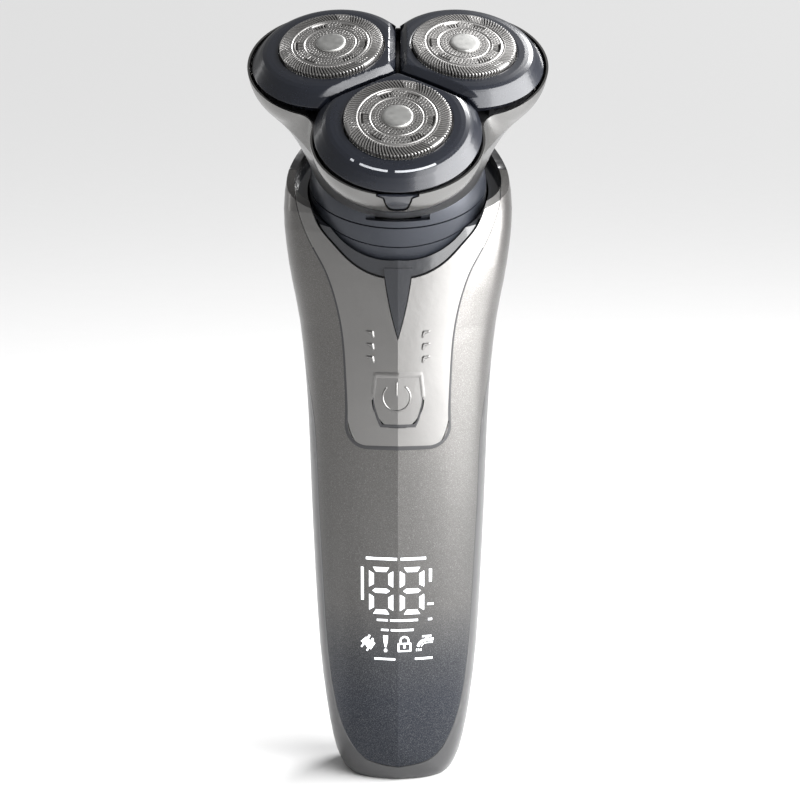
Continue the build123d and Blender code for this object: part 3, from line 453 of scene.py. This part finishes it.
def guardSteel():
    finish = Finish("guard steel slotted")
    opened = finish.node("ShaderNodeAttribute", {"attribute_name": "open"}, output=2)
    metal = finish.mix(finish.noise(slotted["metalScale"]), *slotted["metal"])
    rough = slotted["roughness"] + slotted["grain"] * finish.noise(slotted["grainScale"], 2.0)
    # the slots and holes get painted shade: near-black, duller and less metallic
    return finish.surface({"Base Color": finish.mix(opened, metal, slotted["open"]),
                           "Roughness": rough + opened * slotted["openRoughness"],
                           "Metallic": 1.0 - slotted["openDulling"] * opened,
                           "Normal": finish.bump(finish.noise(slotted["bumpScale"], 2.0), slotted["bumpDepth"])})


guardFinish = guardSteel()
for number, angle in enumerate(head["angles"], 1):
    guardPiece(number, angle)
    capPiece(number, angle)
    lobePiece(number, angle)


# plain bars on the front lobe: arcs laid just above its shoulder; spans are in radians
barArcs = {"radius": (14.05, 14.5), "spans": ((-0.72, -0.66), (-0.56, -0.14), (-0.04, 0.56)), "rise": 0.03}
shoulder = np.array(lobe["profile"][lobe["shoulder"]])
for number, (start, end) in enumerate(barArcs["spans"], 1):
    r, t = np.meshgrid(np.linspace(*barArcs["radius"], 4), np.linspace(start, end, 40), indexing="ij")
    z = np.interp(r, shoulder[:, 0], shoulder[:, 1]) + barArcs["rise"]
    bar = gridPiece(f"lobe_mark_{number}", around(cutterAxes(head["angles"][0]), r, t, z), closeColumns=False)
    paint(bar, finishes["mark"])
    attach(bar, "lobe_1")
print("guards, caps and lobes built")

# The front skin: for each x and z, the nearest y of the named CAD nodes seen along y. Each point is tried in every
# triangle, and y follows from its shares of the triangle's two sides.
skin = {"thinnest": 1e-13, "margin": 1e-6, "batch": 400}


def skinDepth(names, x, z):
    found = np.full(x.shape, np.inf)
    margin, batch = skin["margin"], skin["batch"]
    for name in names:
        mesh = nodes[name].data
        mesh.calc_loop_triangles()
        spots = np.zeros(len(mesh.vertices) * 3)
        mesh.vertices.foreach_get("co", spots)
        corners = np.zeros(len(mesh.loop_triangles) * 3, dtype=np.int32)
        mesh.loop_triangles.foreach_get("vertices", corners)
        tri = spots.reshape(-1, 3)[corners.reshape(-1, 3)]
        a, ab, ac = tri[:, 0], tri[:, 1] - tri[:, 0], tri[:, 2] - tri[:, 0]
        twice = ab[:, 0] * ac[:, 2] - ac[:, 0] * ab[:, 2]
        good = np.abs(twice) > skin["thinnest"]
        a, ab, ac, twice = a[good], ab[good], ac[good], twice[good]
        for start in range(0, len(x), batch):
            dx = x[start:start + batch, None] * mm - a[:, 0]
            dz = z[start:start + batch, None] * mm - a[:, 2]
            u = (dx * ac[:, 2] - ac[:, 0] * dz) / twice
            w = (ab[:, 0] * dz - dx * ab[:, 2]) / twice
            inside = (u >= -margin) & (w >= -margin) & (u + w <= 1 + margin)
            y = np.where(inside, a[:, 1] + u * ab[:, 1] + w * ac[:, 1], np.inf).min(axis=1) / mm
            found[start:start + batch] = np.minimum(found[start:start + batch], y)
    return found


# points along a line of corners, close enough together to follow the skin
def walk(corners, step=0.35):
    corners = np.array(corners, dtype=float)
    lengths = np.concatenate(((0,), np.cumsum(np.hypot(*np.diff(corners, axis=0).T))))
    places = np.concatenate((lengths, np.linspace(0, lengths[-1], max(2, int(lengths[-1] / step) + 1))))
    places = np.unique(np.round(places, 5))
    return np.stack([np.interp(places, lengths, corners[:, k]) for k in (0, 1)], axis=1)


# a strip of flat places of one width (or a width for each end) along a line, and its height over its own width
def ribbon(line, width, rise=(0.03, 0.03, 0.03), step=0.35, fade=0.0):
    spine = walk(line, step)
    ahead = np.gradient(spine, axis=0)
    ahead /= np.maximum(np.hypot(*ahead.T), 1e-9)[:, None]
    normal = np.stack((-ahead[:, 1], ahead[:, 0]), axis=1)
    share = np.linspace(0, 1, len(spine))
    wide = np.interp(share, np.linspace(0, 1, np.size(width)), np.atleast_1d(width))
    side = np.linspace(-0.5, 0.5, len(rise))
    flat = spine[:, None] + side[None, :, None] * wide[:, None, None] * normal[:, None]
    ends = softStep(share, 0, fade) * softStep(1 - share, 0, fade) if fade else np.ones(len(spine))
    sunk = min(rise)
    return flat, sunk + (np.array(rise)[None] - sunk) * ends[:, None]


# a flat four-cornered patch: its points are the corners' means, weighted by how near each corner is
def patch(first, second, third, fourth, rise=0.03):
    u, w = (share[..., None] for share in np.meshgrid(np.linspace(0, 1, 9), np.linspace(0, 1, 4), indexing="ij"))
    one, two, three, four = (np.array(corner, dtype=float) for corner in (first, second, third, fourth))
    flat = ((1 - u) * (1 - w)) * one + (u * (1 - w)) * two + (u * w) * three + ((1 - u) * w) * four
    return flat, np.full(flat.shape[:2], rise)


# one piece of strips and patches, each point set in front of the skin by its rise
def skinPiece(name, strips, body, finish, names):
    places = np.concatenate([flat.reshape(-1, 2) for flat, rise in strips])
    rises = np.concatenate([rise.ravel() for flat, rise in strips])
    y = skinDepth(names, places[:, 0], places[:, 1])
    known = np.isfinite(y)
    y[~known] = np.interp(np.flatnonzero(~known), np.flatnonzero(known), y[known])
    points = np.stack((places[:, 0], y - rises, places[:, 1]), axis=1) * mm
    quads, count = [], 0
    for flat, rise in strips:
        index = np.arange(rise.size).reshape(rise.shape) + count
        corners = np.stack((index[:-1, :-1], index[1:, :-1], index[1:, 1:], index[:-1, 1:]), axis=-1).reshape(-1, 4)
        one, two, three = (points[corners[:, k]] for k in (0, 1, 2))
        faces = np.cross(two - one, three - one)[:, 1].sum()
        quads.append(corners[:, ::-1] if faces > 0 else corners)
        count += rise.size
    piece = meshPiece(name, points, np.concatenate(quads))
    paint(piece, finish)
    smooth(piece, 50)
    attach(piece, body)


# points along part of a circle, between two angles in degrees
def arc(centre, radius, start, end, count=24):
    turn = np.radians(np.linspace(start, end, count))
    return np.stack((centre[0] + radius * np.cos(turn), centre[1] + radius * np.sin(turn)), axis=1)


# soft curve through corners: each span bends towards its neighbours (Catmull-Rom)
def softCurve(corners, count=8):
    c = np.array(corners, dtype=float)
    c = np.concatenate((2 * c[:1] - c[1:2], c, 2 * c[-1:] - c[-2:-1]))
    t = np.linspace(0, 1, count, endpoint=False)[:, None, None]
    a, b, d, e = c[:-3], c[1:-2], c[2:-1], c[3:]
    spans = 0.5 * (2 * b + (d - a) * t + (2 * a - 5 * b + 4 * d - e) * t ** 2 + (3 * b - a - 3 * d + e) * t ** 3)
    return np.concatenate((spans.transpose(1, 0, 2).reshape(-1, 2), c[-2:-1]))


# Marks on the cover and button, as x and z in millimetres. Widths run along a line; rises run across it.
sunkRise, hingeRise = (0.01, 0.03, 0.035, 0.03, 0.01), (-0.02, 0.05, 0.06, 0.05, -0.02)
signRise, chevronRise = (-0.04, 0.12, 0.17, 0.12, -0.04), (-0.05, 0.22, 0.3, 0.22, -0.05)
marks = {"coverBend": ((11.3, 84.5), (11.3, 90), (11.9, 102), (13.2, 110), (15.4, 117), (18.4, 122.6)),
         "coverFoot": (0, 79.2), "coverCorner": (6.7, 83.8), "coverRound": 4.6,
         "grooveWidth": (0.34, 0.45, 0.95, 0.45, 0.34),
         "buttonSide": ((3.75, 84.2), (4.5, 86.0), (5.2, 88.6), (5.45, 91.5)), "sideWidth": (0.6, 0.45, 0.12),
         "slotLine": ((-3.9, 84.15), (3.9, 84.15)), "slotWidth": 0.7,
         "hingeLine": ((-5.6, 95.4), (5.6, 95.4)), "hingeWidth": 1.5, "hingeFade": 0.06,
         "hingeSide": ((4.9, 96.0), (5.35, 92.0), (5.5, 89.9)), "hingeSideWidth": 1.1, "hingeSideFade": 0.12,
         "signCentre": (-0.3, 90.5), "signRadius": 3.0, "signStroke": 0.5, "signArc": (128, 418, 72),
         "signBar": (0.2, 0.5),
         "chevronHeights": (97.8, 100.6, 103.3), "chevronSide": 5.25, "chevronBend": (0.35, 0.8),
         "chevronSize": (1.9, 1.7), "chevronWidth": (0.5, 1.0, 0.25)}
mirror = np.array((-1, 1))
coverBend = softCurve(marks["coverBend"])
corner = arc(marks["coverCorner"], marks["coverRound"], -90, 0)
coverSide = np.concatenate(((marks["coverFoot"],), corner, coverBend[1:]))
coverLine = np.concatenate((coverSide[::-1] * mirror, coverSide[1:]))
# painted shade: a near-black strip along the cover's outline stands for the shade in the groove round it, widest at the
# foot
skinPiece("cover_groove_shade", [ribbon(coverLine, marks["grooveWidth"], sunkRise)], "grip", finishes["groove"],
          ("front_panel", "upper_cover"))

# the power button: painted shade in a dark slot below and two side grooves fading upward, and a plain strip on its
# hinge line
buttonSide = softCurve(marks["buttonSide"])
buttonSlotShade = [ribbon(marks["slotLine"], marks["slotWidth"], sunkRise)]
buttonSlotShade += [ribbon(buttonSide * side, marks["sideWidth"], sunkRise) for side in (mirror, 1)]
skinPiece("button_slot_shade", buttonSlotShade, "grip", finishes["groove"], ("upper_cover", "power_button"))
buttonHinge = [ribbon(marks["hingeLine"], marks["hingeWidth"], hingeRise, fade=marks["hingeFade"])]
buttonHinge += [ribbon(np.array(marks["hingeSide"]) * side, marks["hingeSideWidth"], hingeRise,
                       fade=marks["hingeSideFade"]) for side in (mirror, 1)]
skinPiece("button_hinge", buttonHinge, "grip", finishes["cover_silver"],
          ("upper_cover", "power_button"))

# the power sign: an open circle, and a bar from just above its centre to just past its top
(signX, signZ), signRadius, signStroke = marks["signCentre"], marks["signRadius"], marks["signStroke"]
signLow, signHigh = marks["signBar"]
signBar = ((signX, signZ + signLow), (signX, signZ + signRadius + signHigh))
powerSign = [ribbon(arc(marks["signCentre"], signRadius, *marks["signArc"]), signStroke, signRise, 0.2, 0.04),
             ribbon(signBar, signStroke, signRise, 0.2, 0.1)]
skinPiece("power_sign", powerSign, "button", finishes["button"], ("power_button",))

chevronSide, (chevronWide, chevronTall) = marks["chevronSide"], marks["chevronSize"]
bendOut, bendUp = marks["chevronBend"]
chevronLine = np.array(((0, 0), (bendOut, bendUp * chevronTall), (chevronWide, chevronTall)))
chevrons = [ribbon((chevronLine + (chevronSide, low)) * side, marks["chevronWidth"], chevronRise, 0.15, 0.2)
            for low in marks["chevronHeights"] for side in (mirror, 1)]
skinPiece("grip_chevrons", chevrons, "grip", finishes["cover_silver"], ("upper_cover",))

# The lit display: two seven-segment digits, plain bars, and four signs for warning, lock, tap and charging plug.
# Each bar is a line and a width, or a row of widths along it.
display = {"digits": (-6.42, 0.44), "digitSize": (5.36, 10.95), "digitFoot": 41.1, "stroke": 1.08, "mitre": 0.86,
           "slant": 0.62, "middleLonger": 0.15, "middleInset": 0.1, "middleGap": 0.95,
           "longBars": (((-7.1, 54.0), (-0.2, 54.0)), ((0.6, 54.0), (6.2, 54.0)), ((-7.9, 44.2), (-7.9, 51.9)),
                        ((7.2, 48.5), (7.2, 51.5))),
           "shortBars": (((6.5, 43.3), (7.9, 43.3)), ((6.7, 39.7), (7.6, 39.7)), ((-4.7, 39.7), (-2.25, 39.7)),
                         ((-1.75, 39.7), (4.45, 39.7)), ((-3.75, 37.4), (-2.1, 37.4)), ((-1.6, 37.4), (3.5, 37.4)),
                         ((-5.3, 30.5), (-0.6, 30.5)), ((3.8, 30.5), (7.7, 30.5))),
           "warning": (((-2.76, 36.1), (-2.76, 33.3)), (1.1, 0.95, 0.35)),
           "warningDot": (((-2.76, 32.95), (-2.76, 32.15)), (0.5, 0.8, 0.5)),
           "lockSides": (((-0.05, 34.2), (2.95, 34.2)), ((-0.05, 32.45), (2.95, 32.45)), ((0.1, 34.2), (0.1, 32.45)),
                         ((2.8, 34.2), (2.8, 32.45))),
           "lock": ((((1.45, 34.0), (1.45, 33.1)), 0.5),
                    (((0.55, 34.2), (0.55, 34.9), *arc((1.45, 34.9), 0.9, 180, 0, 12), (2.35, 34.2)), 0.42)),
           "tap": ((((5.4, 35.75), (7.5, 35.75)), 0.42), (((6.45, 35.6), (6.45, 34.9)), 0.6),
                   (softCurve(((7.95, 34.95), (6.3, 34.85), (5.1, 34.45), (4.45, 33.4))), 0.62),
                   (softCurve(((7.8, 34.2), (6.3, 34.15), (5.6, 33.9), (5.2, 33.3))), 0.2)),
           "drops": (((4.2, 32.9), (4.15, 32.3)), ((4.65, 32.9), (4.65, 32.3)), ((5.15, 32.9), (5.15, 32.3))),
           "plug": ((((-8.2, 33.0), (-7.5, 34.1)), 0.4), (((-7.75, 33.9), (-6.7, 35.2)), (1.5, 1.1)),
                    (((-6.8, 35.1), (-6.3, 36.0)), 0.5), (((-7.0, 32.2), (-6.5, 33.1)), 0.4),
                    (((-6.6, 32.9), (-5.6, 34.5)), (1.3, 1.35)), (((-5.8, 34.4), (-5.6, 35.3)), (0.9, 0.4)))}


# seven segments as flat patches with slanted ends; the middle one is two halves that meet on its line
def digit(left):
    wide, tall = display["digitSize"]
    low, thick, cut = display["digitFoot"], display["stroke"], display["mitre"]
    right, top, middle = left + wide, low + tall, low + tall / 2
    slant, inside = display["slant"] * thick, cut + thick * display["slant"]
    longer, inset, gap = display["middleLonger"], display["middleInset"], display["middleGap"] * cut
    made = []
    for edge, way in ((top, -1), (low, 1)):
        inner = edge + way * thick
        made.append(patch((left + cut, edge), (right - cut, edge), (right - inside, inner), (left + inside, inner)))
    for way in (-1, 1):
        inner = middle + way * thick / 2
        made.append(patch((left + cut - longer, middle), (right - cut + longer, middle),
                          (right - inside + inset, inner), (left + inside - inset, inner)))
    for foot, end in ((low + cut, middle - gap), (middle + gap, top - cut)):
        for edge, way in ((left, 1), (right, -1)):
            inner = edge + way * thick
            made.append(patch((edge, foot), (edge, end), (inner, end - slant), (inner, foot + slant)))
    return made


def bars(lines, width):
    return [ribbon(line, width) for line in lines]


lit = [segment for left in display["digits"] for segment in digit(left)]
lit += bars(display["longBars"], 0.62) + bars(display["shortBars"], 0.5)
lit += [ribbon(*display["warning"]), ribbon(*display["warningDot"], step=0.1)]
lit += bars(display["lockSides"], 0.36) + [ribbon(*strip) for strip in display["lock"] + display["tap"]]
lit += bars(display["drops"], 0.22) + [ribbon(*strip) for strip in display["plug"]]
skinPiece("display_marks", lit, "grip", glowFinish("display white", (0.95, 0.97, 1.0, 1), 0.55),
          ("front_panel",))
print("marks on the front built")

# Stage, light and camera, in metres, degrees and watts. Each lamp has its place, its aim, its size and its power.
stage = {"floorSize": 90.0, "floorDrop": 0.0001, "floorTone": (0.7, 0.7, 0.7, 1), "sunAt": (0.5, 0.6, 0.9),
         "sunStrength": 3.2, "sunSpread": 20, "worldStrength": 0.3,
         "lamps": {"rightWall": ((0.40, -0.15, 0.31), (0, 0, 0.31), (0.5, 0.6), 11),
                   "frontPanel": ((0.20, -0.37, 0.26), (0, 0, 0.26), (0.17, 0.5), 1.5),
                   "leftStrip": ((-0.55, 0.32, 0.35), (0, 0, 0.2), (0.08, 0.6), 0.35)},
         "cameraAt": (0.00045, -0.4384, 0.1799), "tilt": 12, "lens": 89.775, "sensor": 36}

floorMesh = bpy.data.meshes.new("floor")
half = stage["floorSize"] / 2
floorMesh.from_pydata([(-half, -half, 0), (half, -half, 0), (half, half, 0), (-half, half, 0)], [], [(0, 1, 2, 3)])
floor = bpy.data.objects.new("floor", floorMesh)
bpy.context.scene.collection.objects.link(floor)
floor.location.z = -stage["floorDrop"]
paint(floor, plasticFinish("floor pale", stage["floorTone"], 0.8, drift=0.01, peel=0.0))


# turns a lamp so that its own downward axis points at its aim
def turnTo(lamp, at, aim):
    lamp.location = at
    lamp.rotation_euler = (Vector(aim) - Vector(at)).to_track_quat("-Z", "Y").to_euler()
    bpy.context.scene.collection.objects.link(lamp)


def areaLight(name, at, aim, size, power):
    data = bpy.data.lights.new(name, "AREA")
    data.shape, data.size, data.size_y, data.energy = "RECTANGLE", size[0], size[1], power
    lamp = bpy.data.objects.new(name, data)
    lamp.visible_camera = False
    turnTo(lamp, at, aim)


sunData = bpy.data.lights.new("overhead", "SUN")
sunData.energy, sunData.angle = stage["sunStrength"], math.radians(stage["sunSpread"])
turnTo(bpy.data.objects.new("overhead", sunData), stage["sunAt"], (0, 0, 0))
for name, lamp in stage["lamps"].items():
    areaLight(name, *lamp)

world = bpy.data.worlds.new("studio")
bpy.context.scene.world = world
world.use_nodes = True
background = world.node_tree.nodes["Background"].inputs
background["Color"].default_value, background["Strength"].default_value = (1, 1, 1, 1), stage["worldStrength"]

cameraData = bpy.data.cameras.new("camera")
cameraData.sensor_width, cameraData.lens = stage["sensor"], stage["lens"]
camera = bpy.data.objects.new("camera", cameraData)
camera.location = stage["cameraAt"]
camera.rotation_euler = (math.radians(90 - stage["tilt"]), 0, 0)
bpy.context.scene.collection.objects.link(camera)
bpy.context.scene.camera = camera
bpy.context.scene.view_settings.view_transform = "Standard"
print("stage set")
